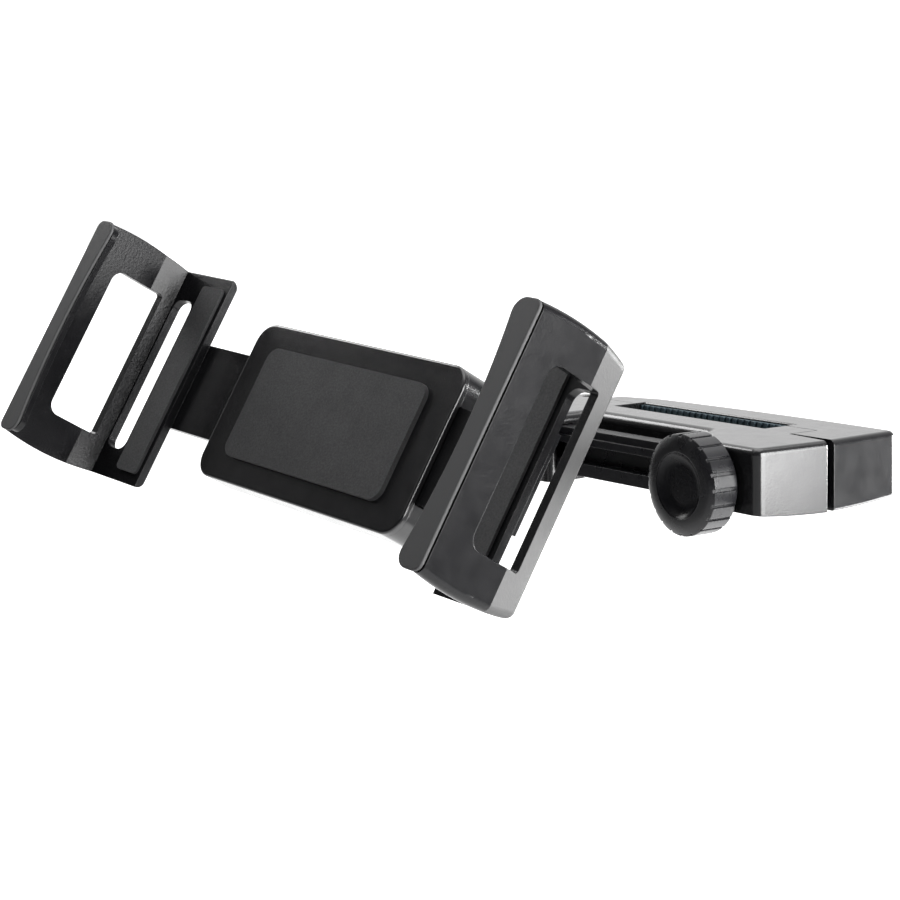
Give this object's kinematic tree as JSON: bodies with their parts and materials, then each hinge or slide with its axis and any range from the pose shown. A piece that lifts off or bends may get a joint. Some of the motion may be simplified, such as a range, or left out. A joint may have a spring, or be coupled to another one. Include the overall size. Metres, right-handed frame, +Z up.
{
  "type": "headrest tablet mount",
  "caption": "Tablet holder for a car headrest: screw-clamped post bar, sliding arm, ball joint and a holder with deep C-shaped sliding claws.",
  "frame": {"origin": "middle of the post slot, halfway up the clamp bar", "axes": "+X along the clamp bar towards the knob's end, -Y towards the person who looks at the tablet, +Z up along the headrest posts"},
  "size_m": [0.2876, 0.1752, 0.1102],
  "materials": {
    "body_black": "fine-grained satin",
    "claw_black": "fine-grained satin",
    "lip_grey": "matte",
    "knob_black": "satin",
    "cap_black": "polished",
    "pad_rubber": "matte",
    "steel": "zinc plated",
    "dark_steel": "blackened"
  },
  "bodies": {
    "clamp": {"jaw_front": "body_black", "post_pad_front": "pad_rubber", "hinge_pin": "dark_steel", "thrust_washer": "steel"},
    "knob": {"knob": "knob_black", "knob_cap": "cap_black", "clamp_screw": "steel"},
    "nut": {"clamp_nut": "steel"},
    "rear_jaw": {"jaw_rear": "body_black", "post_pad_rear": "pad_rubber"},
    "arm": {"extension_arm": "body_black", "arm_stop": "body_black", "arm_head": "body_black"},
    "stud": {"ball_stud": "dark_steel", "stud_nut": "steel"},
    "socket": {"ball_socket": "body_black"},
    "ring": {"lock_ring": "knob_black"},
    "holder": {"holder_front": "body_black", "holder_back": "body_black", "holder_pad": "pad_rubber", "shell_screws": "dark_steel"},
    "right_claw": {"claw_right": "claw_black", "lip_right": "lip_grey", "rest_pad_right": "pad_rubber"},
    "left_claw": {"claw_left": "claw_black", "lip_left": "lip_grey", "rest_pad_left": "pad_rubber"}
  },
  "joints": [
    {"name": "knob_turn", "type": "hinge", "parent": "clamp", "child": "knob", "pos_m": [0.04675, -0.0377, -0.0021], "axis": [0, -1, 0], "range_deg": [0, 1490]},
    {"name": "nut_travel", "type": "slide", "parent": "clamp", "child": "nut", "axis": [0, 1, 0], "range_m": [0, 0.0083]},
    {"name": "jaw_open", "type": "hinge", "parent": "clamp", "child": "rear_jaw", "pos_m": [-0.064, 0.003, 0], "axis": [0, 0, 1], "range_deg": [0, 4.3]},
    {"name": "arm_extend", "type": "slide", "parent": "clamp", "child": "arm", "axis": [-1, 0, 0], "range_m": [0, 0.05]},
    {"name": "ball_spin", "type": "hinge", "parent": "arm", "child": "stud", "pos_m": [-0.0924, -0.0685, -0.0057], "axis": [0, -1, 0], "range_deg": [-30, 30]},
    {"name": "ball_tilt", "type": "hinge", "parent": "stud", "child": "socket", "pos_m": [-0.0924, -0.0685, -0.0057], "axis": [-1, 0, 0], "range_deg": [-38, 7]},
    {"name": "ring_turn", "type": "hinge", "parent": "socket", "child": "ring", "pos_m": [-0.0924, -0.0685, -0.0057], "axis": [0.0889, -0.8566, 0.5083], "range_deg": [-60, 60]},
    {"name": "holder_turn", "type": "hinge", "parent": "socket", "child": "holder", "pos_m": [-0.0924, -0.0685, -0.0057], "axis": [0.0889, -0.8566, 0.5083], "range_deg": [-90, 90]},
    {"name": "right_claw_slide", "type": "slide", "parent": "holder", "child": "right_claw", "axis": [0.9958, 0.0648, -0.0649], "range_m": [-0.028, 0.012]},
    {"name": "left_claw_slide", "type": "slide", "parent": "holder", "child": "left_claw", "axis": [-0.9958, -0.0648, 0.0649], "range_m": [-0.028, 0.012]}
  ],
  "couplings": [
    {"joint": "nut_travel", "follows": "knob_turn", "m_per_rad": 0.00031831},
    {"joint": "jaw_open", "follows": "knob_turn", "ratio": 0.002874}
  ]
}
